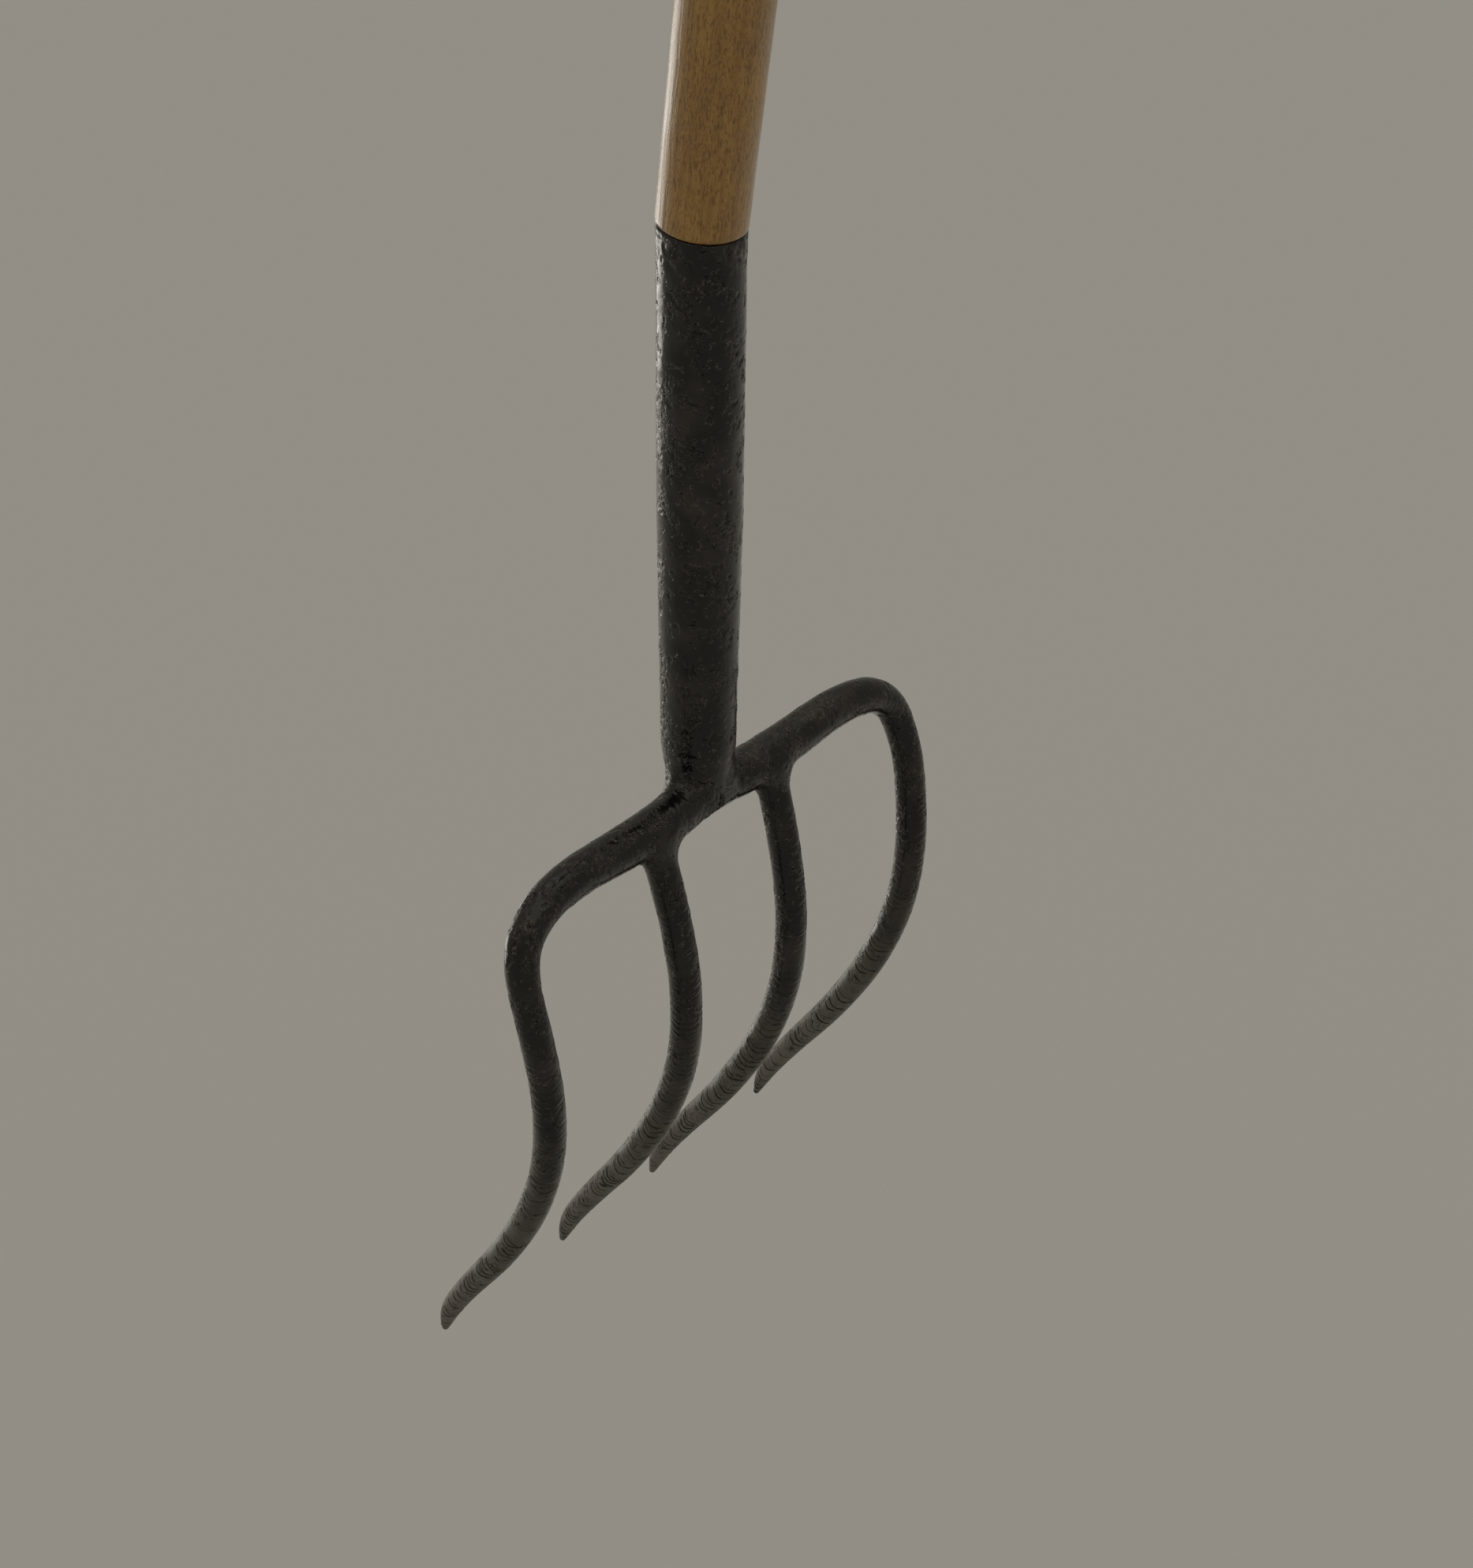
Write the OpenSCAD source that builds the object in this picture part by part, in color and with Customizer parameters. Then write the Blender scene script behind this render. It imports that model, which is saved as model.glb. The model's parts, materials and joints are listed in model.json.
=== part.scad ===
// Four-tine hay fork: a bent ash handle seated in a forged socket, whose foot is
// welded to a round shoulder bar that turns down into four hooked tines.
// Origin: on the socket's axis at the crown, just above the shoulder bar.
// +Z runs up the socket, +X across the head, and +Y is the side that the tips point to.

/* [Handle] */
// Length of handle that shows above the socket
handle_l = 1180; // [600:10:1500]
// Diameter of the straight grip
grip_d = 39; // [37:0.5:40]
// Diameter where the handle sits on the socket's rim
seat_d = 37.6; // [37:0.1:38]
// Length over which the handle thickens from the rim to the grip
swell_l = 110; // [60:5:200]
// Lean of the handle from the socket's axis, away from the tips (degrees)
handle_lean = 6.8; // [0:0.2:8]

/* [Socket] */
// Length of the socket above the crown, on its axis
socket_l = 246; // [200:1:280]
// Outer diameter of the socket at its mouth
mouth_d = 36.1; // [35.8:0.1:36.4]
// Outer diameter just above the foot
foot_d = 32.4; // [31:0.1:33]
// Wall thickness at the mouth
wall = 2.2; // [1.8:0.1:2.6]
// Depth of the bore
bore_depth = 186; // [150:1:190]

/* [Head] */
// Half of the distance between the shoulders, between centre lines
shoulder_half = 130; // [120:1:140]
// Half of the distance between the outer tips
outer_tip_half = 114.4; // [108:0.2:120]
// Half of the distance between the inner tines' roots
inner_root_half = 39; // [37:0.5:42]
// Half of the distance between the inner tips
inner_tip_half = 33; // [32:0.5:36]
// Diameter of the shoulder bar at its middle
bar_d = 21.6; // [21:0.1:23]
// Diameter of a tine at its top
tine_d = 14.7; // [13:0.1:15]
// Depth of the tips below the crown
tip_depth = 272; // [270:1:290]

/* [Nail] */
// Diameter of the nail's shank
nail_d = 3.8; // [3:0.1:4]
// Diameter of the nail's head
nail_head_d = 9; // [7:0.5:10]
// Height of the nail above the crown
nail_z = 205; // [180:1:215]

/* [Hidden] */

$fn = 64;
sides = 20;           // sides of a tine's section
ring_step = 6.5;      // spacing of the sections along a tine
fit_gap = 0.05;       // radial gap between the tenon and the bore
bore_end_d = 22;      // bore diameter at its bottom
tenon_gap = 3;        // gap left under the tenon's end
seat_round = 2;       // rounding of the handle's lower edge
butt_round = 13;      // rounding of the handle's top end
nail_l = 20;          // shank length under the nail's head
nail_point_l = 5;
nail_tip_d = 0.4;
nail_head_h = 1.8;
nail_head_taper = 0.6; // the head's outer diameter as a share of its inner one
tip_point = 0.25;     // length of a tine's blunt point as a share of its last diameter
inner_draw_in = 1.3;  // how much closer together the inner tines are just below their roots
belly_inset = 0.15;   // how far the socket's middle is inside its mouth's radius
mouth_spare = 4;      // height above the mouth at which the uncut socket ends
core_spare = 2.6;     // the same for the bore and the tenon

bore_mouth_d = mouth_d - 2 * wall;
bore_z = socket_l - bore_depth;
// The socket's foot from the weld up: radius and height
foot_profile = [[9, -13], [13, -5], [15, 1], [foot_d / 2 - 0.3, 7], [foot_d / 2, 12]];
steel = [0.13, 0.125, 0.11];
ash = [0.46, 0.34, 0.19];

// A tine seen from the side: depth below the crown, reach towards +Y, and diameter
// as a share of the tine's top diameter. It bows back, sweeps forward and hooks down.
tine_side = [
    [60, -19.5, 0.97],
    [95, -24, 0.97],
    [130, -21, 0.955],
    [165, -9, 0.93],
    [200, 10.5, 0.86],
    [232, 33, 0.75],
    [254, 47.5, 0.64],
    [266, 52.5, 0.42],
    [tip_depth, 53.8, 0.2]
];
tine_top = tine_side[0][0];

// Centre line and diameter of the right tine's lower part, from its half width
// at the shoulder's level to its half width at the tip
function tine_points(half_top, half_tip) = [
    for (p = tine_side)
        let (down = (p[0] - tine_top) / (tip_depth - tine_top))
        [half_top + (half_tip - half_top) * down, p[1], -p[0], p[2] * tine_d]
];

// The shoulder bar, from the middle of the head to the outer tine's top
bar_points = [
    [0, 0, -13.5, bar_d],
    [22, -5, -15, bar_d * 0.96],
    [55, -5.4, -14.8, bar_d * 0.89],
    [88, -5.4, -13.4, bar_d * 0.82],
    [shoulder_half - 18, -7.7, -16.1, bar_d * 0.765],
    [shoulder_half - 4.1, -10.4, -27.1, bar_d * 0.7],
    [shoulder_half, -14.9, -43, bar_d * 0.67]
];
inner_root = [inner_root_half, -8, -17, tine_d];
outer_points = concat(bar_points, tine_points(shoulder_half, outer_tip_half));
inner_points = concat([inner_root], tine_points(inner_root_half - inner_draw_in, inner_tip_half));

// A smooth curve through the points, worked out one stretch at a time
function along(a, b, c, d, t) =
    b + t * ((c - a) / 2 + t * (a - 2.5 * b + 2 * c - d / 2 + t * (1.5 * (b - c) + (d - a) / 2)));
function reach(a, b) = norm([b[0] - a[0], b[1] - a[1], b[2] - a[2]]);
function smooth_line(p) =
    let (n = len(p) - 1)
    concat([for (i = [0 : n - 1])
        let (
            before = i > 0 ? p[i - 1] : 2 * p[0] - p[1],
            after = i < n - 1 ? p[i + 2] : 2 * p[n] - p[n - 1],
            steps = ceil(reach(p[i], p[i + 1]) / ring_step)
        )
        for (k = [0 : steps - 1]) along(before, p[i], p[i + 1], after, k / steps)], [p[n]]);

function unit(v) = v / norm(v);
function place(p) = [p[0], p[1], p[2]];
function heading(line, i) =
    i == 0 ? [1, 0, 0] :
    unit(place(line[min(i + 1, len(line) - 1)]) - place(line[i - 1]));

// One round section of the curve, square to it
function section(line, i, first_heading) =
    let (
        t = i == 0 ? first_heading : heading(line, i),
        a = unit(cross(t, [0, 1, 0])),
        b = cross(t, a),
        r = line[i][3] / 2
    )
    [for (k = [0 : sides - 1]) place(line[i]) + r * (cos(k * 360 / sides) * a + sin(k * 360 / sides) * b)];

// A round bar swept along the curve, closed by a flat start and a blunt point
module swept_bar(line, first_heading) {
    last = len(line) - 1;
    tip = place(line[last]) + heading(line, last) * line[last][3] * tip_point;
    rings = [for (i = [0 : last]) each section(line, i, first_heading)];
    skin = [for (i = [0 : last - 1]) for (k = [0 : sides - 1])
        let (j = (k + 1) % sides, a = i * sides, b = a + sides)
        each [[a + k, b + j, a + j], [a + k, b + k, b + j]]];
    start = [for (k = [0 : sides - 1]) k];
    point = [for (k = [0 : sides - 1]) [last * sides + k, len(rings), last * sides + (k + 1) % sides]];
    polyhedron(concat(rings, [tip]), concat([start], skin, point), convexity = 6);
}

// Moves its children onto the handle's own axis, which starts at the socket's mouth
module on_handle_axis() {
    translate([0, 0, socket_l]) rotate([handle_lean, 0, 0]) children();
}

// The tapered space inside the socket, or the tenon when it is made thinner and shorter
module tapered_core(shrink, lift) {
    slope = (bore_mouth_d - bore_end_d) / 2 / bore_depth;
    translate([0, 0, bore_z + lift])
        cylinder(r1 = bore_end_d / 2 + slope * lift - shrink,
                 r2 = bore_mouth_d / 2 + slope * core_spare - shrink,
                 h = bore_depth + core_spare - lift);
}

module nail_shank(d) {
    translate([0, mouth_d / 2 - nail_l, nail_z]) rotate([-90, 0, 0]) {
        cylinder(d = d, h = nail_l);
        translate([0, 0, -nail_point_l]) cylinder(d1 = nail_tip_d, d2 = d, h = nail_point_l);
    }
}

module handle_shaft() {
    butt = [for (a = [0 : 9 : 90])
        [grip_d / 2 - butt_round + butt_round * cos(a), handle_l - butt_round + butt_round * sin(a)]];
    seat = [for (a = [-90 : 15 : 0])
        [seat_d / 2 - seat_round + seat_round * cos(a), seat_round + seat_round * sin(a)]];
    rotate_extrude()
        polygon(concat([[0, 0]], seat, [[grip_d / 2, swell_l]], butt, [[0, handle_l]]));
}

module handle() {
    color(ash) difference() {
        union() {
            on_handle_axis() handle_shaft();
            tapered_core(fit_gap, tenon_gap);
        }
        nail_shank(nail_d);
    }
}

module socket_outside() {
    top = socket_l + mouth_spare;
    belly = [[mouth_d / 2 - belly_inset, socket_l / 2], [mouth_d / 2, top], [0, top]];
    rotate_extrude() polygon(concat([[0, foot_profile[0][1]]], foot_profile, belly));
}

module socket() {
    color(steel) difference() {
        socket_outside();
        tapered_core(0, 0);
        on_handle_axis() translate([-mouth_d, -mouth_d, 0]) cube([2 * mouth_d, 2 * mouth_d, mouth_d]);
        translate([0, mouth_d / 2 - nail_l / 2, nail_z]) rotate([-90, 0, 0]) cylinder(d = nail_d, h = nail_l);
    }
}

module outer_tine() {
    color(steel) swept_bar(smooth_line(outer_points), [1, 0, 0]);
}

module inner_tine() {
    color(steel) swept_bar(smooth_line(inner_points), [0, 0, -1]);
}

module outer_tine_left() {
    mirror([1, 0, 0]) outer_tine();
}

module outer_tine_right() {
    outer_tine();
}

module inner_tine_left() {
    mirror([1, 0, 0]) inner_tine();
}

module inner_tine_right() {
    inner_tine();
}

module handle_nail() {
    color(steel) union() {
        nail_shank(nail_d);
        difference() {
            translate([0, mouth_d / 2 - nail_head_h, nail_z]) rotate([-90, 0, 0])
                cylinder(d1 = nail_head_d, d2 = nail_head_d * nail_head_taper, h = 2 * nail_head_h);
            socket_outside();
        }
    }
}

handle();
socket();
outer_tine_left();
outer_tine_right();
inner_tine_left();
inner_tine_right();
handle_nail();
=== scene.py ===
"""A four-tine hay fork: a bent ash handle in a forged socket, above a bar with four hooked tines.

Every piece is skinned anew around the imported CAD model: its centre lines and thicknesses are
measured from the CAD meshes, then the skin gets welds, forging marks, pits and wear.
Lengths are metres in the CAD's own frame, apart from relief, which is given in millimetres.
"""

import json
import math

import bpy
import numpy as np
from mathutils import Matrix, Vector


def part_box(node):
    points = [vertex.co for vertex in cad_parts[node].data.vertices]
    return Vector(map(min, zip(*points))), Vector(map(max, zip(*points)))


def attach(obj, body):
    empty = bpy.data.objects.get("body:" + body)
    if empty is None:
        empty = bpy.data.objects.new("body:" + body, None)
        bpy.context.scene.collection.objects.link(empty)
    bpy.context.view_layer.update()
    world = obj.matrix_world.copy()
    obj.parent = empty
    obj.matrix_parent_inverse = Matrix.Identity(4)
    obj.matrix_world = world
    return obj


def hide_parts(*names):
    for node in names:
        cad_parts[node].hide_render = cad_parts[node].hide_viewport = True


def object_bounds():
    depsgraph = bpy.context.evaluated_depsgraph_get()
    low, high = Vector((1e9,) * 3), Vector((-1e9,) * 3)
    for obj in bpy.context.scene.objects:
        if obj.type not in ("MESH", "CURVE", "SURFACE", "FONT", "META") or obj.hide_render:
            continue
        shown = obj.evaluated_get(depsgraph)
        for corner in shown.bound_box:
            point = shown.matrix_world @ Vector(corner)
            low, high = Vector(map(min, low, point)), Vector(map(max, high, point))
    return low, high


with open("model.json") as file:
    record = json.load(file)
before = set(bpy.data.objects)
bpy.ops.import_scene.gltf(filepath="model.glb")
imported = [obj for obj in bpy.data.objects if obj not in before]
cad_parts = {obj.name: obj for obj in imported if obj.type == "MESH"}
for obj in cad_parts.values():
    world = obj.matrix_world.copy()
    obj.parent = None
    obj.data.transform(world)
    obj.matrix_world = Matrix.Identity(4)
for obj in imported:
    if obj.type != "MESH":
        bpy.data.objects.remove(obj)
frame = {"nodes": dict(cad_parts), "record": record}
cad_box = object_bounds()

MM = 0.001
Y_AXIS = np.array([0.0, 1.0, 0.0])
mounts = {m["name"]: m for m in frame["record"]["mounts"]}
crown = np.array(mounts["crown_seat"]["pos_m"], float)
grip = mounts["handle_grip"]
grip_axis = np.array(grip["axis"], float)
grip_radius = grip["dims"]["r_mm"] * MM


# ---------------------------------------------------------------- small maths

def unit(v):
    return v / np.linalg.norm(v, axis=-1, keepdims=True)


def smoothstep(low, high, x):
    t = np.clip((x - low) / (high - low), 0.0, 1.0)
    return t * t * (3.0 - 2.0 * t)


def bell(x, middle, width):
    return np.exp(-(((x - middle) / width) ** 2))


SHUFFLE = np.random.default_rng(11).permutation(256)
SLOPES = unit(np.random.default_rng(12).normal(size=(256, 3)))


def noise(points, seed=0):
    """Smooth noise, about -1 to 1, whose features are about one unit wide."""
    cell = np.floor(points).astype(np.int64)
    inside = points - cell
    ease = inside**3 * (inside * (inside * 6.0 - 15.0) + 10.0)
    total = np.zeros(len(points))
    for corner in np.ndindex(2, 2, 2):
        at = cell + np.array(corner)
        pick = SHUFFLE[(at[:, 0] + seed) & 255]
        pick = SHUFFLE[(pick + at[:, 1]) & 255]
        pick = SHUFFLE[(pick + at[:, 2]) & 255]
        share = np.where(np.array(corner) == 1, ease, 1.0 - ease).prod(axis=1)
        total += share * (SLOPES[pick] * (inside - np.array(corner))).sum(axis=1)
    return total * 1.6


def layered_noise(points, seed, layers=3):
    return sum(noise(points * 2.0**i, seed + i) * 0.5**i for i in range(layers))


# ---------------------------------------------------------------- measuring the CAD model

TIP_RADIUS = 1.6 * MM      # of the blunt point
TIP_CUT = 8 * MM           # the last section is this far above the tip
ROOT_CUT = 0.5 * MM        # and the first is this far from the tine's start
SLICE = 2.5 * MM           # spacing of the sections
PIVOT = (0.64, 0.21)       # middle of the shoulder's bend: share of the half width, and of the depth
TURN_STEP = 2.5            # degrees between the sections round the shoulder
DOWN = np.array([0.0, 0.0, -1.0])


class Section:
    """What one cutting plane finds of a CAD mesh: the section's centre and its own points."""

    def __init__(self, co, edges, point, normal):
        height = (co - point) @ normal
        a, b = height[edges[:, 0]], height[edges[:, 1]]
        crossing = (a < 0) != (b < 0)
        a, b, pair = a[crossing], b[crossing], edges[crossing]
        share = (a / (a - b))[:, None]
        self.points = co[pair[:, 0]] * (1 - share) + co[pair[:, 1]] * share
        across = np.cross(normal, Y_AXIS)
        self.centre = (
            across * self.middle(across)
            + Y_AXIS * self.middle(Y_AXIS)
            + normal * (point @ normal)
        )

    def middle(self, axis):
        along = self.points @ axis
        return (along.min() + along.max()) / 2


def cad_mesh(node):
    mesh = frame["nodes"][node].data
    co = np.array([v.co for v in mesh.vertices])
    edges = np.array([e.vertices[:] for e in mesh.edges])
    return co, edges


def smoothed(values, steps):
    """A gaussian blur along the first axis that keeps both ends where they are."""
    reach = np.arange(-3 * steps, 3 * steps + 1)
    kernel = np.exp(-((reach / steps) ** 2))
    kernel /= kernel.sum()
    pad = 3 * steps
    before = 2 * values[0] - values[pad:0:-1]
    after = 2 * values[-1] - values[-2 : -pad - 2 : -1]
    padded = np.concatenate([before, values, after])
    columns = padded.reshape(len(padded), -1).T
    blurred = np.array([np.convolve(c, kernel, mode="valid") for c in columns]).T
    return blurred.reshape(values.shape)


class Line:
    """A centre line with a radius, sampled evenly."""

    def __init__(self, centres, radii, step=0.25 * MM, blur=5 * MM):
        run = np.concatenate([[0], np.cumsum(np.linalg.norm(np.diff(centres, axis=0), axis=1))])
        self.length = run[-1]
        self.run = np.linspace(0, self.length, int(self.length / step) + 1)
        both = np.column_stack([centres, radii])
        even = np.column_stack([np.interp(self.run, run, c) for c in both.T])
        even = smoothed(even, int(blur / step))
        self.centres, self.radii = even[:, :3], even[:, 3]

    def at(self, run):
        """Centres, headings and radii at these distances along the line."""
        def look(values):
            return np.column_stack([np.interp(run, self.run, c) for c in values.T])

        headings = unit(np.gradient(self.centres, axis=0))
        return look(self.centres), unit(look(headings)), np.interp(run, self.run, self.radii)

    def gap(self, points, every=6, batch=4000):
        """Signed distance from points to this line's skin, negative inside. It starts cut off square."""
        if len(points) > batch:
            starts = range(0, len(points), batch)
            return np.concatenate([self.gap(points[i : i + batch]) for i in starts])
        centres, radii = self.centres[::every], self.radii[::every]
        headings = unit(np.gradient(centres, axis=0))
        squares = (points**2).sum(axis=1)[:, None] - 2 * points @ centres.T
        nearest = (squares + (centres**2).sum(axis=1)).argmin(axis=1)
        away = points - centres[nearest]
        along = (away * headings[nearest]).sum(axis=1, keepdims=True)
        beside = np.linalg.norm(away - along * headings[nearest], axis=1) - radii[nearest]
        return np.where(nearest == 0, np.maximum(beside, -along[:, 0]), beside)


def tine_line(node, planes):
    """The centre line of a tine, from its root to the end of its blunt point."""
    co, edges = cad_mesh(node)
    sections = [Section(co, edges, *plane) for plane in planes]
    centres = np.array([s.centre for s in sections])
    headings = unit(np.gradient(centres, axis=0))
    radii = []
    for section, heading in zip(sections, headings):
        away = section.points - section.centre
        away -= (away @ heading)[:, None] * heading
        radii.append(np.linalg.norm(away, axis=1).mean())
    tip_z = co[:, 2].min()
    tip = co[co[:, 2] < tip_z + TIP_RADIUS].mean(axis=0)
    tip[2] = tip_z + TIP_RADIUS
    return Line(np.vstack([centres, tip]), np.array(radii + [TIP_RADIUS]))


def planes_down(top, bottom):
    count = int((top - bottom) / SLICE)
    return [(np.array([0, 0, z]), DOWN) for z in np.linspace(top, bottom, count)]


def outer_planes(low, high):
    """Cuts across the bar, then round the shoulder, then across the tine."""
    wide, deep = PIVOT
    pivot = np.array(Vector((high.x * wide, 0, high.z + (low.z - high.z) * deep)))
    right = np.array([1.0, 0, 0])
    across = [(np.array([x, 0, 0]), right) for x in np.arange(ROOT_CUT, pivot[0], SLICE)]
    turn = []
    for angle in np.radians(np.arange(0, 90, TURN_STEP)):
        turn.append((pivot, np.array([math.cos(angle), 0, -math.sin(angle)])))
    return across + turn + planes_down(pivot[2], low.z + TIP_CUT)


def measure_tine(node):
    low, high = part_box(node)
    if node.startswith("outer"):
        return tine_line(node, outer_planes(low, high))
    return tine_line(node, planes_down(high.z - ROOT_CUT, low.z + TIP_CUT))


# ---------------------------------------------------------------- skins

SIDES = {"outer": 84, "inner": 98, "socket": 212, "handle": 128, "nail": 60}   # points round each skin


def mesh_object(name, points, faces, smooth_faces=0):
    """An object made of these faces, of which the first few are shaded smooth."""
    mesh = bpy.data.meshes.new(name)
    mesh.from_pydata(points.tolist(), [], faces)
    mesh.polygons.foreach_set("use_smooth", np.arange(len(faces)) < smooth_faces)
    mesh.update()
    piece = bpy.data.objects.new(name, mesh)
    bpy.context.scene.collection.objects.link(piece)
    return piece


def skin(name, rings, flip=False):
    """A closed tube through the rings, an array of (ring, point round it, xyz), with its ends filled."""
    count, sides = rings.shape[:2]
    start, end = rings[0].mean(axis=0), rings[-1].mean(axis=0)
    points = np.vstack([rings.reshape(-1, 3), start, end])
    k = np.arange(sides)
    after = (k + 1) % sides
    first = (np.arange(count - 1) * sides)[:, None]
    quads = np.stack([first + k, first + after, first + sides + after, first + sides + k], axis=-1)
    faces = quads.reshape(-1, 4).tolist()
    smooth_faces = len(faces)
    last = (count - 1) * sides
    start_index, end_index = count * sides, count * sides + 1
    faces += [[start_index, b, a] for a, b in zip(k.tolist(), after.tolist())]
    faces += [[end_index, last + a, last + b] for a, b in zip(k.tolist(), after.tolist())]
    if flip:
        faces = [face[::-1] for face in faces]
    return mesh_object(name, points, faces, smooth_faces)


def paint(piece, name, values):
    """Stores one number for each point, which the material reads."""
    layer = piece.data.attributes.new(name, "FLOAT", "POINT")
    full = np.zeros(len(piece.data.vertices), np.float32)
    full[: values.size] = values.ravel()
    full[values.size :] = values.ravel()[-1]
    layer.data.foreach_set("value", full)


def outline(heading, turns):
    """Directions out from a line at each ring and turn, square to its heading."""
    a = unit(np.cross(heading, Y_AXIS))
    b = np.cross(heading, a)
    return np.cos(turns)[None, :, None] * a[:, None] + np.sin(turns)[None, :, None] * b[:, None]


# ---------------------------------------------------------------- forge welds

CROWN_WELD = 9 * MM        # how widely the two halves of the bar run into each other
FOOT_WELD = 11 * MM        # the socket's foot into the bar
TINE_WELD = 9 * MM         # an inner tine into the bar
WELDS_BELOW = 70 * MM      # no weld is deeper under the crown than this
BURIED = 2 * MM            # skin this deep in a neighbour is left alone
HANDOVER = (0.8 * MM, 2.8 * MM)    # past a seam, a skin leaves the welded shape between these
WELD_METAL = (0.1 * MM, 1.2 * MM)  # metal this thick starts to look like a weld, and fully does
WELD_STEPS = 22            # small moves out to the welded shape
FLIP = np.array([-1.0, 1.0, 1.0])


def soft_min(a, b, width):
    """The lesser of two signed distances, with a rounded fillet where they meet."""
    overlap = np.maximum(width - np.abs(a - b), 0.0)
    return np.minimum(a, b) - overlap**2 / (4 * width)


class Head:
    """The welded shape that all the forged pieces' skins follow where they meet."""

    def __init__(self):
        self.outer = measure_tine("outer_tine_right")
        self.inner = measure_tine("inner_tine_right")
        self.foot_levels, self.foot_radii = socket_profile()

    def foot_radius(self, z):
        return np.interp(z, self.foot_levels, self.foot_radii)

    def gaps(self, points):
        """Signed distances to the right and left halves of the bar, the socket and the inner tines."""
        right = points * FLIP ** (points[:, :1] < 0)
        radial = np.linalg.norm(points[:, :2], axis=1) - self.foot_radius(points[:, 2])
        socket = np.maximum(radial, self.foot_levels[0] - points[:, 2])
        own, other = self.outer.gap(right), self.outer.gap(right * FLIP)
        return {"bar": own, "far_bar": other, "socket": socket, "inner": self.inner.gap(right)}

    def surface(self, gaps):
        bars = soft_min(gaps["bar"], gaps["far_bar"], CROWN_WELD)
        return soft_min(soft_min(bars, gaps["socket"], FOOT_WELD), gaps["inner"], TINE_WELD)

    def fit(self, rings, out, piece):
        """Moves a piece's skin out to the welded shape. Also returns how thick the weld metal is there."""
        points, ways = rings.reshape(-1, 3).copy(), out.reshape(-1, 3)
        metal = np.zeros(len(points))
        near = np.where(points[:, 2] > -WELDS_BELOW)[0]
        gaps = self.gaps(points[near])
        beside = np.minimum.reduce([g for name, g in gaps.items() if name != piece])
        live = near[(self.surface(gaps) < 0) & (beside > -BURIED)]
        start, ways = points[live], ways[live]
        at = start.copy()
        for _ in range(WELD_STEPS):
            at += ways * np.maximum(-self.surface(self.gaps(at)), 0.0)[:, None]
        gaps = self.gaps(at)
        beside = np.minimum.reduce([g for name, g in gaps.items() if name != piece])
        beyond = gaps[piece] - beside
        points[live] = start + (at - start) * (1 - smoothstep(*HANDOVER, beyond))[:, None]
        metal[live] = np.minimum(gaps[piece], beside) - self.surface(gaps)
        return points.reshape(rings.shape), metal.reshape(rings.shape[:2])


# ---------------------------------------------------------------- forging marks, in millimetres

SCRATCH_FRAME = np.linalg.qr(np.array([[0.5, -0.3, 0.8], [0.6, 0.8, 0.0], [-0.7, 0.4, 0.6]]))[0]
SCRATCH_SIZE = np.array([9.0, 1.3, 1.3])
FOLD_SIDE = np.array([-0.66, -0.52, 0.53])     # the folds' points lie on this side of a tine


def flaked(points, seed, cover):
    """Patches where scale has flaked off the steel. 0 is clean steel, 1 is all flakes."""
    where = layered_noise(points / (13 * MM), seed, 3)
    return smoothstep(0.26 - cover, 0.5 - cover, where)


def scale_relief(rings, weld):
    """The steel's surface: slight hammering, flaked patches with pits, and stray dents and scratches."""
    points = rings.reshape(-1, 3)
    patch = flaked(points, 60, 0.2 + 0.22 * weld.ravel())
    pits = smoothstep(0.12, 0.36, noise(points / (2.8 * MM), 65))
    specks = smoothstep(0.15, 0.45, noise(points / (1.6 * MM), 69))
    dent = noise(points / (4.2 * MM), 77)
    dents = smoothstep(0.46, 0.58, dent)
    lips = bell(dent, 0.4, 0.05)
    slanted = points @ SCRATCH_FRAME
    scratch = smoothstep(0.58, 0.72, noise(slanted / MM / SCRATCH_SIZE, 81))
    relief = 0.13 * layered_noise(points / (19 * MM), 40, 2) + 0.06 * noise(points / (4.6 * MM), 85)
    relief -= patch * (0.02 + 0.22 * pits + 0.14 * specks)
    relief -= 0.26 * dents - 0.1 * lips + 0.14 * scratch
    return relief.reshape(weld.shape), patch.reshape(weld.shape)


def folds(runs, turns, seams, draws, start, end, spacing, slant=0.0):
    """Wrinkles across a tine from where it was drawn out: shallow Vs that point to the tip, in bunches."""
    relief = np.zeros((len(runs), len(turns)))
    for opposite in (0, math.pi):
        at = start
        while at < end:
            bunch_gap = draws.random() < 0.12
            at += spacing * draws.uniform(0.5, 1.4) + (draws.uniform(2, 6) * MM if bunch_gap else 0)
            middle = np.interp(at, runs, seams) + opposite + draws.normal(0, 0.2)
            reach = draws.uniform(0.6, 1.4)
            steep, deep = draws.uniform(1.4, 3.6) * MM, draws.uniform(0.3, 1.0)
            near = np.abs(runs - at) < 10 * MM
            aside = (turns - middle + math.pi) % (2 * math.pi) - math.pi
            line = at - steep * (np.sqrt(aside**2 + 0.03) - 0.17) + slant * aside
            past = (runs[near, None] - line) / MM
            across = 1 - smoothstep(0.55 * reach, reach, np.abs(aside))
            crease = 0.7 * bell(past, -1.5, 0.9) - bell(past, 0.0, np.where(past < 0, 0.75, 0.4))
            relief[near] += deep * across * crease
    return relief


# ---------------------------------------------------------------- the forged head

def even_turns(sides):
    return np.arange(sides) * 2 * math.pi / sides


def surface_normals(rings):
    along = np.gradient(rings, axis=0)
    around = np.roll(rings, -1, axis=1) - np.roll(rings, 1, axis=1)
    return unit(np.cross(around, along))


def ridges(relief):
    """How much each point stands above the points next to it."""
    padded = np.pad(relief, ((1, 1), (0, 0)), mode="edge")
    nearby = padded[:-2] + padded[2:] + np.roll(relief, 1, axis=1) + np.roll(relief, -1, axis=1)
    return relief - nearby / 4


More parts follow.
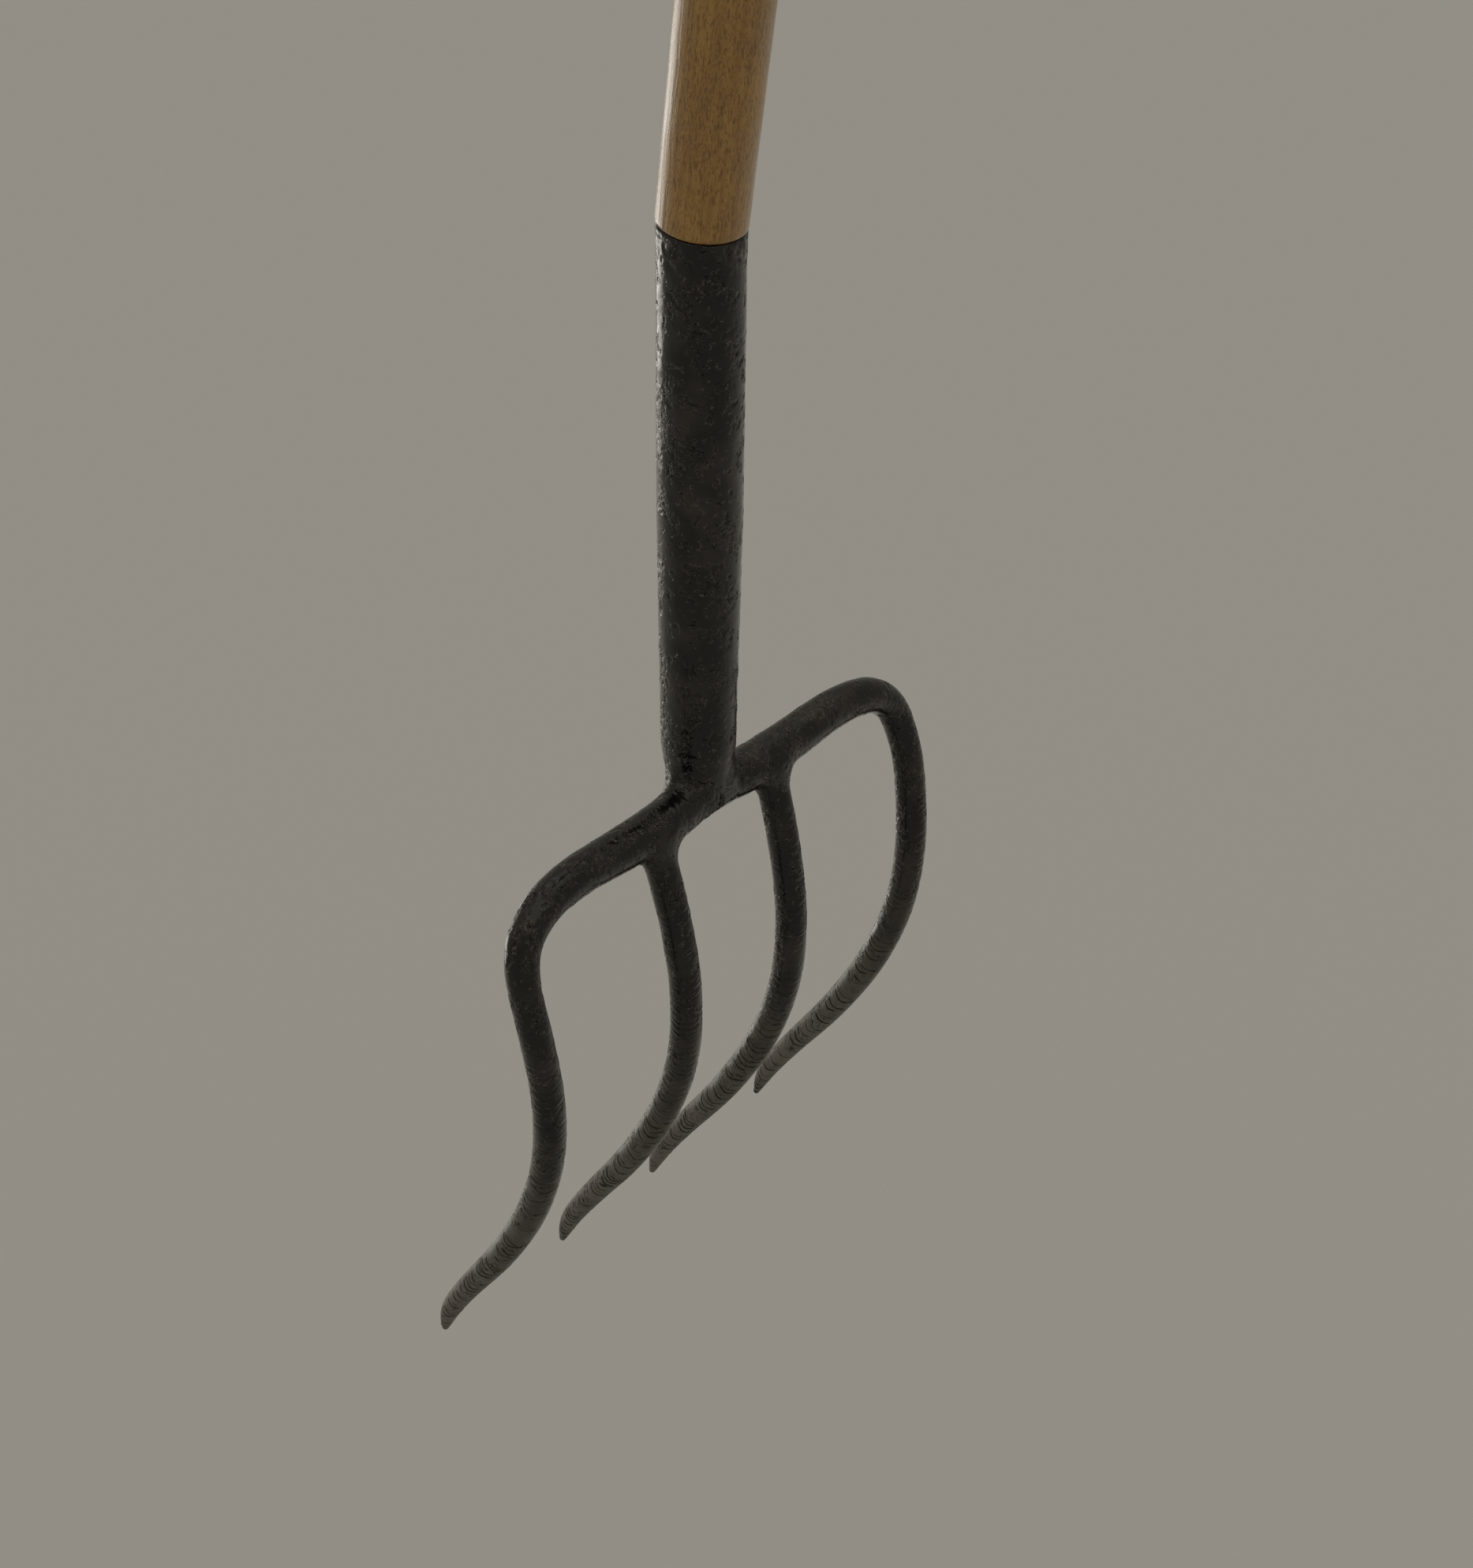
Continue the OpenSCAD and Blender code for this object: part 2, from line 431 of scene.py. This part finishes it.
def rounded_end(centre, heading, out, radius):
    """Rings that close a tine's blunt point."""
    lifts = np.radians([20, 40, 58, 72, 83])
    return np.array([centre + heading * radius * math.sin(a) + out * radius * math.cos(a) for a in lifts])


def steel_marks(piece, relief, patch, wear, spare):
    """Passes the marks to the steel's material, with spare rings at the end that have none."""
    tail = np.zeros((spare, relief.shape[1]))
    paint(piece, "hollow", np.concatenate([relief, tail]))
    paint(piece, "ridge", np.concatenate([ridges(relief), tail]))
    paint(piece, "flaked", np.concatenate([patch, tail]))
    paint(piece, "wear", np.concatenate([wear, tail + wear[-1, 0]]))


LAPPED = np.array([-2.4, -1.8, -1.2, -0.6]) * MM     # rings past the crown's middle
DRAWN = (0.26, 0.66)       # shares of the depth where the drawn-out part starts, and is full
BAR_FOLDS = {"start": 12 * MM, "spacing": 3 * MM, "slant": 1.8 * MM}
TINE_FOLD_SPACING = 2.7 * MM
FOLDS_END = 3 * MM         # no folds this close to the point


def make_tine(head, node, side, seed):
    """One tine's skin. Each outer one carries half of the shoulder bar."""
    outer = node.startswith("outer")
    line = head.outer if outer else head.inner
    spacings = (0.42 * MM, 0.6 * MM, 0.31 * MM) if outer else (0.3 * MM,) * 3
    bends = (60 * MM, 175 * MM) if outer else (25 * MM, 60 * MM)
    stretches = zip((0, *bends), (*bends, line.length), spacings)
    runs = np.concatenate([LAPPED if outer else []] + [np.arange(*stretch) for stretch in stretches])
    turns = even_turns(SIDES["outer" if outer else "inner"])
    centres, headings, radii = line.at(runs)
    if outer:
        lapped = runs <= 0
        centres[lapped, 0], headings[lapped] = runs[lapped], (1.0, 0.0, 0.0)
        radii[0] *= 0.5
    out = outline(headings, turns)
    rings = centres[:, None] + out * radii[:, None, None]
    rings, metal = head.fit(rings, out, "bar" if outer else "inner")
    depth_share = np.clip(rings[..., 2] / cad_box[0].z, 0, 1)
    weld = smoothstep(*WELD_METAL, metal)
    relief, patch = scale_relief(rings * [side, 1, 1], weld)
    drawn = smoothstep(*DRAWN, depth_share)
    relief *= 1 - 0.55 * drawn
    draws = np.random.default_rng(seed)
    a = unit(np.cross(headings, Y_AXIS))
    fold_side = FOLD_SIDE * [side, 1, 1]
    seams = np.unwrap(np.arctan2(np.cross(headings, a) @ fold_side, a @ fold_side))
    plain = 1 - weld
    if outer:
        bar_folds = folds(runs, turns, seams, draws, end=bends[1], **BAR_FOLDS)
        relief += 0.1 * (1 - drawn) * plain * bar_folds
    first, last = bends[1] if outer else bends[0], line.length - FOLDS_END
    tine_folds = folds(runs, turns, seams, draws, first, last, TINE_FOLD_SPACING)
    relief += (0.17 + 0.28 * drawn) * plain * tine_folds
    rings = rings + surface_normals(rings) * relief[..., None] * MM
    tip = rounded_end(centres[-1], headings[-1], out[-1], radii[-1] * 0.97)
    piece = skin(node + "_forged", np.concatenate([rings, tip]) * [side, 1, 1], flip=side == 1)
    steel_marks(piece, relief, patch, depth_share, len(tip))
    return piece


# ---------------------------------------------------------------- the socket

MOUTH_TILT = -grip_axis[1] / grip_axis[2]     # rise of the mouth's rim towards +Y
RIM_WALL = 2.2 * MM
RIM_RINGS = ((0.35, 0.55), (0.95, 0.12), (1.6, 0.1), (RIM_WALL / MM, 0.8))  # inset and drop, in mm
RIM_DROP = 1.2 * MM        # the outer wall ends this far under the mouth
SOCKET_STEPS = (0.4 * MM, 0.64 * MM)   # spacing of the rings at the foot and above it
BORE_END = 11 * MM         # radius of the bore at its bottom
BORE_GAP = 3 * MM          # from the tenon's end to the bore's bottom
FOOT_TOP = 15 * MM         # the rings are closer together below this height
BATTERED = (4 * MM, 9 * MM)    # how far under the mouth the beaten band is, and its width
TILTED = (40 * MM, 2 * MM)     # distances under the mouth over which the rings tilt to match it


def socket_profile():
    """Heights along the socket and its outer radius at each."""
    co, edges = cad_mesh("socket")
    low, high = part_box("socket")
    levels = np.arange(low.z + 0.3 * MM, high.z - 6 * MM, 1.5 * MM)
    cuts = [Section(co, edges, np.array([0, 0, z]), DOWN).points for z in levels]
    return levels, np.array([np.linalg.norm(points[:, :2], axis=1).max() for points in cuts])


def mouth_height(head):
    """Where the socket's mouth crosses its axis."""
    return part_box("socket")[1].z - MOUTH_TILT * head.foot_radii[-1]


def make_socket(head):
    mouth = mouth_height(head)
    turns = even_turns(SIDES["socket"])
    out = np.column_stack([np.cos(turns), np.sin(turns), 0 * turns])
    low = head.foot_levels[0]
    levels = np.concatenate([
        np.arange(low, FOOT_TOP, SOCKET_STEPS[0]),
        np.arange(FOOT_TOP, mouth - RIM_DROP, SOCKET_STEPS[1]),
    ])
    rings = out[None] * head.foot_radius(levels)[:, None, None]
    tilt = smoothstep(mouth - TILTED[0], mouth - TILTED[1], levels)[:, None] * MOUTH_TILT
    rings[..., 2] = levels[:, None] + tilt * rings[..., 1]
    rings, metal = head.fit(rings, np.broadcast_to(out, rings.shape), "socket")
    weld = smoothstep(*WELD_METAL, metal)
    relief, patch = scale_relief(rings, weld)
    battered = bell(levels[:, None], mouth - BATTERED[0], BATTERED[1])
    beaten = noise(rings.reshape(-1, 3) / (3.4 * MM), 91).reshape(relief.shape)
    relief += 0.3 * battered * (smoothstep(-0.1, 0.5, beaten) - smoothstep(0.1, 0.5, -beaten))
    rings = rings + surface_normals(rings) * relief[..., None] * MM

    radius = head.foot_radius(mouth)
    dents = 0.12 * MM * noise(out * 3.0, 33)
    inside = []
    for inset, drop in RIM_RINGS:
        ring = out * (radius - inset * MM)
        ring[:, 2] = mouth - drop * MM + MOUTH_TILT * ring[:, 1] + dents
        inside.append(ring)
    bore_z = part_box("handle")[0].z - BORE_GAP
    for share in np.linspace(0.03, 1, 26):
        ring = out * (radius - RIM_WALL + (BORE_END - radius + RIM_WALL) * share)
        ring[:, 2] = (mouth - 1 * MM) * (1 - share) + bore_z * share
        ring[:, 2] += MOUTH_TILT * ring[:, 1] * (1 - share) ** 8
        inside.append(ring)
    piece = skin("socket_forged", np.concatenate([rings, inside]))
    steel_marks(piece, relief, patch, 0 * relief, len(inside))
    return piece


# ---------------------------------------------------------------- the handle

SEAT_ROUND = 2 * MM        # of the wood's lower edge
TENON_TOP = 15.7 * MM      # radius of the tenon at the mouth
TENON_END = 11.2 * MM      # and at its foot
SHAFT_STEP = 1.8 * MM      # spacing of the shaft's rings
SHAFT_START = 3 * MM       # where the even rings start, above the rounded edge
SEAT_BAND = (1.5 * MM, 3 * MM)     # distances up the shaft between which the seat is measured


def make_handle(head):
    """The shaft on its leaning axis, with a rounded seat and butt, and the tenon in the socket."""
    mouth = mouth_height(head)
    start = np.array([0, 0, mouth])
    co, _ = cad_mesh("handle")
    along = (co - start) @ grip_axis
    length = along.max()
    reach = np.linalg.norm(co - start - along[:, None] * grip_axis, axis=1)
    seat = reach[(along > SEAT_BAND[0]) & (along < SEAT_BAND[1])].max()
    grip_middle = (np.array(grip["pos_m"]) - start) @ grip_axis
    swell = grip_middle - grip["dims"]["length_mm"] * MM / 2
    butt = length - grip_middle - grip["dims"]["length_mm"] * MM / 2

    lower = np.radians(np.linspace(-90, 0, 9))
    upper = np.radians(np.linspace(6, 88, 16))
    body = np.arange(SHAFT_START, length - butt, SHAFT_STEP)
    runs = np.concatenate([
        SEAT_ROUND * (1 + np.sin(lower)), body, length - butt + butt * np.sin(upper)])
    widths = np.concatenate([
        seat - SEAT_ROUND + SEAT_ROUND * np.cos(lower),
        np.minimum(seat + (grip_radius - seat) * body / swell, grip_radius),
        grip_radius - butt + butt * np.cos(upper),
    ])
    turns = even_turns(SIDES["handle"])
    side = np.array([1.0, 0, 0])
    front = np.cross(grip_axis, side)
    out = np.cos(turns)[:, None] * side + np.sin(turns)[:, None] * front
    rings = start + runs[:, None, None] * grip_axis + widths[:, None, None] * out[None]
    local = rings.reshape(-1, 3) @ np.column_stack([side, front, grip_axis]) / MM
    marks = 0.11 * noise(local / [9, 9, 120], 71) + 0.05 * noise(local / [4, 4, 60], 72) - 0.12
    marks -= 0.06 * smoothstep(0.35, 0.7, noise(local / [1.6, 1.6, 22], 74))
    shaft = rings + out * (marks * MM).reshape(len(runs), -1, 1)

    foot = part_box("handle")[0].z
    flat = np.column_stack([np.cos(turns), np.sin(turns), 0 * turns])
    tenon = []
    for share in np.linspace(0, 1, 24):
        ring = flat * (TENON_END + (TENON_TOP - TENON_END) * share)
        ring[:, 2] = foot + (mouth - foot) * share + MOUTH_TILT * ring[:, 1] * share**8
        tenon.append(ring)
    return skin("handle_ash", np.concatenate([tenon, shaft]))


# ---------------------------------------------------------------- the nail

NAIL_SHANK = 1.85 * MM     # radius
NAIL_HEAD = 2.4 * MM       # height
NAIL_FACETS = 5


def make_nail():
    """A hand-made rose-head nail: five hammered facets on a round shank."""
    low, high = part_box("handle_nail")
    centre = (low + high) / 2
    head_radius = (high.x - low.x) / 2
    top = high.y - 0.05 * MM
    seat = top - NAIL_HEAD
    turns = even_turns(SIDES["nail"])
    facet = math.pi * 2 / NAIL_FACETS
    five = np.cos(facet / 2) / np.cos((turns + 0.3) % facet - facet / 2)
    shank_rows = [(0.05, low.y), (0.45, low.y + 2.6 * MM), (1.0, low.y + 5 * MM)]
    shank_rows += [(1.0, y) for y in np.linspace(low.y + 6 * MM, seat, 12)]
    head_rows = [(1.0, seat, 0.3), (0.98, seat + 0.45 * MM, 0.6), (0.72, top - 0.75 * MM, 1.0),
                 (0.4, top - 0.2 * MM, 1.0), (0.12, top, 0.6)]
    rows = [(NAIL_SHANK * share + 0 * turns, y) for share, y in shank_rows]
    rows += [(head_radius * share * (1 - part + part * five), y) for share, y, part in head_rows]
    out = np.column_stack([np.cos(turns), 0 * turns, np.sin(turns)])
    rings = np.array([out * radius[:, None] + [centre.x, y, centre.z] for radius, y in rows])
    relief = 0.06 * noise(rings.reshape(-1, 3) / (1.5 * MM), 81).reshape(rings.shape[:2])
    piece = skin("handle_nail_rose_head", rings + out * relief[..., None] * MM, flip=True)
    steel_marks(piece, relief, 0 * relief, 0 * relief + 0.25, 0)
    return piece


# ---------------------------------------------------------------- materials

class Nodes:
    """A short way to build the nodes of a material or a world."""

    def __init__(self, owner):
        self.owner = owner
        owner.use_nodes = True
        self.tree = owner.node_tree
        self.surface = self.tree.nodes.get("Principled BSDF")    # a world has none

    def add(self, kind, inputs=None, **settings):
        node = self.tree.nodes.new(kind)
        for key, value in settings.items():
            setattr(node, key, value)
        for key, value in (inputs or {}).items():
            self.feed(node, key, value)
        return node

    def feed(self, node, key, value):
        if isinstance(value, bpy.types.NodeSocket):
            self.tree.links.new(value, node.inputs[key])
        else:
            node.inputs[key].default_value = value

    def math(self, operation, a, b=0.0, clamp=False):
        return self.add("ShaderNodeMath", {0: a, 1: b}, operation=operation, use_clamp=clamp).outputs[0]

    def noise(self, vector, scale, detail=2.0, roughness=0.5):
        inputs = {"Vector": vector, "Scale": scale, "Detail": detail, "Roughness": roughness}
        return self.add("ShaderNodeTexNoise", inputs).outputs["Fac"]

    def ramp(self, value, low, high, start=0.0, end=1.0):
        inputs = {"Value": value, "From Min": low, "From Max": high, "To Min": start, "To Max": end}
        node = self.add("ShaderNodeMapRange", inputs, interpolation_type="SMOOTHSTEP")
        return node.outputs["Result"]

    def vector(self, operation, a, b):
        return self.add("ShaderNodeVectorMath", {0: a, 1: b}, operation=operation)

    def mix(self, share, a, b):
        node = self.add("ShaderNodeMix", data_type="RGBA")
        for key, value in ((0, share), (6, a), (7, b)):
            if isinstance(value, bpy.types.NodeSocket):
                self.tree.links.new(value, node.inputs[key])
            else:
                node.inputs[key].default_value = value if key == 0 else (*value, 1.0)
        return node.outputs[2]

    def bump(self, height, distance, strength=1.0, normal=None):
        inputs = {"Height": height, "Distance": distance, "Strength": strength}
        if normal is not None:
            inputs["Normal"] = normal
        return self.add("ShaderNodeBump", inputs).outputs["Normal"]


BLACK_SCALE = (0.0036, 0.0033, 0.0026)
BROWN_SCALE = (0.0110, 0.0086, 0.0058)
# partly rubbed bare steel, partly painted highlight: the lighter colour of ridges and of the edges round
# pits and dents
RUBBED_AND_HIGHLIGHT_STEEL = (0.150, 0.138, 0.115)
WORN_STEEL = (0.198, 0.184, 0.155)
# painted shade: the dark colour that the relief's hollows (fold creases, pits, dents) are mixed towards
CREASE_SHADE = (0.012, 0.0105, 0.008)
PIT_EDGE, DENT_EDGE = 0.54, 0.65    # of the noises that they are cut from


def forged_steel(name, wear_start=0.34, wear_end=0.95):
    """Black forge scale with pits, worn to grey-brown steel towards the tines' tips. The relief's hollows
    carry painted shade, and its ridges and the edges of pits and dents a painted highlight that partly
    stands for wear.
    """
    n = Nodes(bpy.data.materials.new(name))
    place = n.add("ShaderNodeTexCoord").outputs["Object"]
    wear, hollow, ridge, pitted = (
        n.add("ShaderNodeAttribute", attribute_name=layer).outputs["Fac"]
        for layer in ("wear", "hollow", "ridge", "flaked")
    )
    broad = n.noise(place, 45, 3.0)
    grain = n.noise(place, 900, 4.0, 0.62)
    specks = n.noise(place, 2400, 3.0, 0.6)
    scale = n.mix(n.ramp(broad, 0.38, 0.66), BLACK_SCALE, BROWN_SCALE)
    patchy = n.math("MULTIPLY", n.math("SUBTRACT", broad, 0.5), 0.5)
    worn = n.math("ADD", n.ramp(wear, wear_start, wear_end), patchy, clamp=True)
    worn = n.math("MULTIPLY", worn, n.ramp(specks, 0.2, 0.7, 0.8, 1.1), clamp=True)
    colour = n.mix(worn, scale, WORN_STEEL)
    # Painted shade: the hollows of the relief are darkened in colour, and given less specular below, as if
    # shade fell in them.
    crease_shade = n.math("MULTIPLY", n.ramp(hollow, -0.07, -0.27), n.ramp(worn, 0.0, 0.6, 0.25, 1.0))
    colour = n.mix(n.math("MULTIPLY", crease_shade, 0.85), colour, CREASE_SHADE)
    # Ridges of the relief are lightened: partly rubbed wear, partly a painted highlight where light would
    # catch them.
    rubbed_and_highlight = n.math("MULTIPLY", n.ramp(ridge, 0.03, 0.1), n.ramp(specks, 0.35, 0.6))
    rubbed_and_highlight = n.math("MULTIPLY", rubbed_and_highlight, n.ramp(worn, 0.0, 1.0, 0.45, 0.2))
    colour = n.mix(rubbed_and_highlight, colour, RUBBED_AND_HIGHLIGHT_STEEL)
    pitting, denting = n.noise(place, 620, 1.0), n.noise(place, 300, 2.0)
    in_patch = n.ramp(pitted, 0.3, 0.8)
    # Painted highlight: a lighter ring round the edge of each pit and dent, where light would catch the lip.
    pit_rim_highlight, dent_rim_highlight = (
        n.math("MULTIPLY", n.ramp(value, edge - 0.03, edge), n.ramp(value, edge + 0.03, edge))
        for value, edge in ((pitting, PIT_EDGE), (denting, DENT_EDGE))
    )
    rim_highlight = n.math("MAXIMUM", n.math("MULTIPLY", pit_rim_highlight, in_patch), dent_rim_highlight)
    rim_highlight = n.math("MULTIPLY", rim_highlight, n.ramp(worn, 0.0, 0.7, 0.65, 0.0))
    colour = n.mix(rim_highlight, colour, RUBBED_AND_HIGHLIGHT_STEEL)
    n.feed(n.surface, "Base Color", colour)
    # painted shade in the specular as well: less of it in the relief's hollows
    n.feed(n.surface, "Specular IOR Level", n.math("SUBTRACT", 0.5, n.math("MULTIPLY", crease_shade, 0.38)))
    rough = n.math("ADD", n.ramp(grain, 0.3, 0.7, 0.15, 0.23), n.math("MULTIPLY", worn, 0.42))
    n.feed(n.surface, "Roughness", n.math("ADD", rough, n.math("MULTIPLY", pitted, 0.03)))
    n.feed(n.surface, "IOR", 1.5)
    rougher = n.math("ADD", 0.12, n.math("MULTIPLY", n.math("MAXIMUM", pitted, worn), 0.8), clamp=True)
    pits = n.math("MULTIPLY", n.ramp(pitting, PIT_EDGE, 0.60), in_patch)
    sunk = n.math("SUBTRACT", 1.0, n.math("MAXIMUM", pits, n.ramp(denting, DENT_EDGE, 0.69)))
    fine = n.bump(specks, 0.00010, rougher)
    sharp = n.bump(sunk, 0.00110, 1.0, fine)
    n.feed(n.surface, "Normal", n.bump(grain, 0.00022, rougher, sharp))
    return n.owner


WOOD_LIGHT = (0.50, 0.29, 0.088)
WOOD_MID = (0.385, 0.212, 0.058)
WOOD_DARK = (0.17, 0.083, 0.022)


def ash_wood(name):
    """Oiled ash: soft streaks and dense short dark flecks along the grain, under a thin worn finish."""
    n = Nodes(bpy.data.materials.new(name))
    place = n.add("ShaderNodeTexCoord").outputs["Object"]
    lean = math.atan2(-grip_axis[1], grip_axis[2])
    turned = {"Vector": place, "Axis": (1, 0, 0), "Angle": -lean}
    upright = n.add("ShaderNodeVectorRotate", turned).outputs[0]

    def scaled(vector, across, along):
        return n.vector("MULTIPLY", vector, (across, across, along)).outputs[0]

    wander = n.add("ShaderNodeTexNoise", {"Vector": scaled(upright, 75, 30), "Scale": 1.0, "Detail": 1.0})
    bend = scaled(wander.outputs["Color"], 0.0035, 0.0)
    bent = n.vector("ADD", upright, bend).outputs[0]

    def grain(across, along, detail=1.0):
        return n.noise(scaled(bent, across, along), 1.0, detail, 0.5)

    streaks = grain(430, 38, 3.0)
    blotches = grain(70, 28, 2.0)
    flecks, short_flecks, pores = grain(1250, 290), grain(1700, 600), grain(2900, 330)
    dense = n.ramp(blotches, 0.35, 0.65, -0.02, 0.035)
    tone = n.mix(n.ramp(streaks, 0.32, 0.68), WOOD_MID, WOOD_LIGHT)
    tone = n.mix(n.ramp(blotches, 0.35, 0.7, 0.0, 0.4), tone, WOOD_MID)
    dark = n.math("MULTIPLY", n.ramp(n.math("ADD", flecks, dense), 0.53, 0.68), 0.66)
    more = n.math("MULTIPLY", n.ramp(n.math("ADD", short_flecks, dense), 0.53, 0.7), 0.5)
    pored = n.math("MULTIPLY", n.ramp(pores, 0.56, 0.75), 0.35)
    dark = n.math("MAXIMUM", dark, n.math("MAXIMUM", more, pored))
    n.feed(n.surface, "Base Color", n.mix(dark, tone, WOOD_DARK))
    n.feed(n.surface, "Roughness", n.ramp(streaks, 0.3, 0.7, 0.42, 0.55))
    n.feed(n.surface, "Specular IOR Level", 0.15)
    fibre = n.bump(n.math("SUBTRACT", 1.0, dark), 0.00016, 0.8)
    wavy = grain(520, 24, 3.0)
    n.feed(n.surface, "Normal", n.bump(wavy, 0.00065, 0.9, fibre))
    n.feed(n.surface, "Coat Weight", n.ramp(blotches, 0.3, 0.6, 0.75, 1.0))
    n.feed(n.surface, "Coat Roughness", n.ramp(streaks, 0.3, 0.7, 0.2, 0.28))
    n.feed(n.surface, "Coat Normal", n.bump(wavy, 0.00022, 0.9))
    return n.owner


# ---------------------------------------------------------------- light, floor and camera

VIEW_AZIMUTH, VIEW_ELEVATION, VIEW_ROLL = 51.8, 32.26, 0.75    # degrees
VIEW_DISTANCE = 1.4723
VIEW_LENS = 78.94          # mm
AIM_RIGHT, AIM_UP = 0.01634, -0.0105    # from the crown to the middle of the picture
BACKDROP = (0.2874, 0.2705, 0.2346)


def make_camera():
    """Above the back of the fork and to its left, looking down on the head."""
    turn, tilt, roll = (math.radians(a) for a in (VIEW_AZIMUTH, VIEW_ELEVATION, VIEW_ROLL))
    level = Vector((math.sin(turn), math.cos(turn), 0))
    forward = level * math.cos(tilt) + Vector((0, 0, -math.sin(tilt)))
    right = Vector((math.cos(turn), -math.sin(turn), 0))
    up = right.cross(forward)
    across = right * math.cos(roll) + up * math.sin(roll)
    right, up = across, up * math.cos(roll) - right * math.sin(roll)
    data = bpy.data.cameras.new("camera")
    data.sensor_fit = "AUTO"
    data.sensor_width = 36.0
    data.lens = VIEW_LENS
    data.clip_start, data.clip_end = 0.05, 100
    camera = bpy.data.objects.new("camera", data)
    bpy.context.scene.collection.objects.link(camera)
    aim = Vector(crown) + right * AIM_RIGHT + up * AIM_UP
    camera.matrix_world = Matrix.Translation(aim - forward * VIEW_DISTANCE) @ Matrix(
        (right, up, -forward)).transposed().to_4x4()
    bpy.context.scene.camera = camera


BEHIND = (0.786, 0.618, 0.0)     # level, away from the camera's side
STRIP = (0.12, 0.993, 0.0)       # level, towards the strip light on the tips' side
SPARK = (0.05, 0.999, 0.0)       # and towards a small bright one below it
WHITE_LIGHT = (0.28, 0.272, 0.252)
STRIP_POWER, SPARK_POWER = 8.0, 13.0
BASE_POWER, GLOW_POWER, TOP_POWER = 0.9, 0.62, 1.45


def make_world():
    """Even studio light, stronger overhead and low behind the fork, and a low bright one beyond the tips."""
    world = bpy.data.worlds.new("studio")
    n = Nodes(world)
    n.tree.nodes.clear()
    where = n.add("ShaderNodeTexCoord").outputs["Generated"]

    def facing(direction):
        return n.vector("DOT_PRODUCT", where, direction).outputs["Value"]

    def band(low, lit, still_lit, high):
        """1 between two heights, and 0 beyond the outer two."""
        return n.math("MULTIPLY", n.ramp(height, low, lit), n.ramp(height, still_lit, high, 1.0, 0.0))

    height = facing((0, 0, 1))
    strip = n.math("MULTIPLY", band(-0.42, -0.36, -0.24, -0.16),
                   n.ramp(facing(STRIP), 0.86, 0.91, 0.0, STRIP_POWER))
    spark = n.math("MULTIPLY", band(-0.43, -0.42, -0.39, -0.37),
                   n.ramp(facing(SPARK), 0.865, 0.885, 0.0, SPARK_POWER))
    glow = n.math("MULTIPLY", n.ramp(facing(BEHIND), -0.6, 0.45, 0.0, GLOW_POWER),
                  n.ramp(height, -0.5, -0.25, 1.0, 0.0))
    overhead = n.ramp(height, 0.65, 0.85, BASE_POWER, BASE_POWER + TOP_POWER)
    overhead = n.math("MULTIPLY", overhead, n.ramp(height, -0.92, -0.72, 0.35, 1.0))

    def background(colour, strength=1.0):
        inputs = {"Color": (*colour, 1), "Strength": strength}
        return n.add("ShaderNodeBackground", inputs).outputs[0]

    even = background(BACKDROP, n.math("ADD", glow, overhead))
    bright = background(WHITE_LIGHT, n.math("ADD", strip, spark))
    soft = n.add("ShaderNodeAddShader", {0: even, 1: bright}).outputs[0]
    seen = n.add("ShaderNodeLightPath").outputs["Is Camera Ray"]
    pick = n.add("ShaderNodeMixShader", {0: seen, 1: soft, 2: background(BACKDROP)})
    n.add("ShaderNodeOutputWorld", {0: pick.outputs[0]})
    bpy.context.scene.world = world


FLOOR_DROP = 0.55          # below the tips
FLOOR_HALF = 30.0          # half of its width
FLOOR_GREY = 0.66


def make_floor():
    """A wide pale floor well under the tips, which puts no light or reflection on the fork."""
    z = cad_box[0].z - FLOOR_DROP
    corners = np.array([[x, y, z] for x, y in ((-1, -1), (1, -1), (1, 1), (-1, 1))], float)
    corners[:, :2] *= FLOOR_HALF
    floor = mesh_object("floor", corners, [[0, 1, 2, 3]])
    n = Nodes(bpy.data.materials.new("pale_floor"))
    n.feed(n.surface, "Base Color", (FLOOR_GREY, FLOOR_GREY, FLOOR_GREY, 1))
    n.feed(n.surface, "Roughness", 1.0)
    n.feed(n.surface, "Specular IOR Level", 0.0)
    floor.data.materials.append(n.owner)
    floor.visible_glossy = False
    floor.visible_diffuse = False
    floor.visible_shadow = False


# ---------------------------------------------------------------- putting it together

def stand_for(piece, node, material):
    piece.data.materials.append(material)
    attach(piece, "root")
    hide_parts(node)


make_camera()
steel = forged_steel("black_forged_steel")
nail_steel = forged_steel("nail_steel", 0.1, 1.2)
ash = ash_wood("oiled_ash")

head = Head()
for side, word in ((-1, "left"), (1, "right")):
    for kind, seed in (("outer_tine_", 200), ("inner_tine_", 300)):
        stand_for(make_tine(head, kind + word, side, seed + side), kind + word, steel)
stand_for(make_socket(head), "socket", steel)
stand_for(make_handle(head), "handle", ash)
stand_for(make_nail(), "handle_nail", nail_steel)

make_world()
make_floor()
bpy.context.scene.view_settings.view_transform = "Standard"
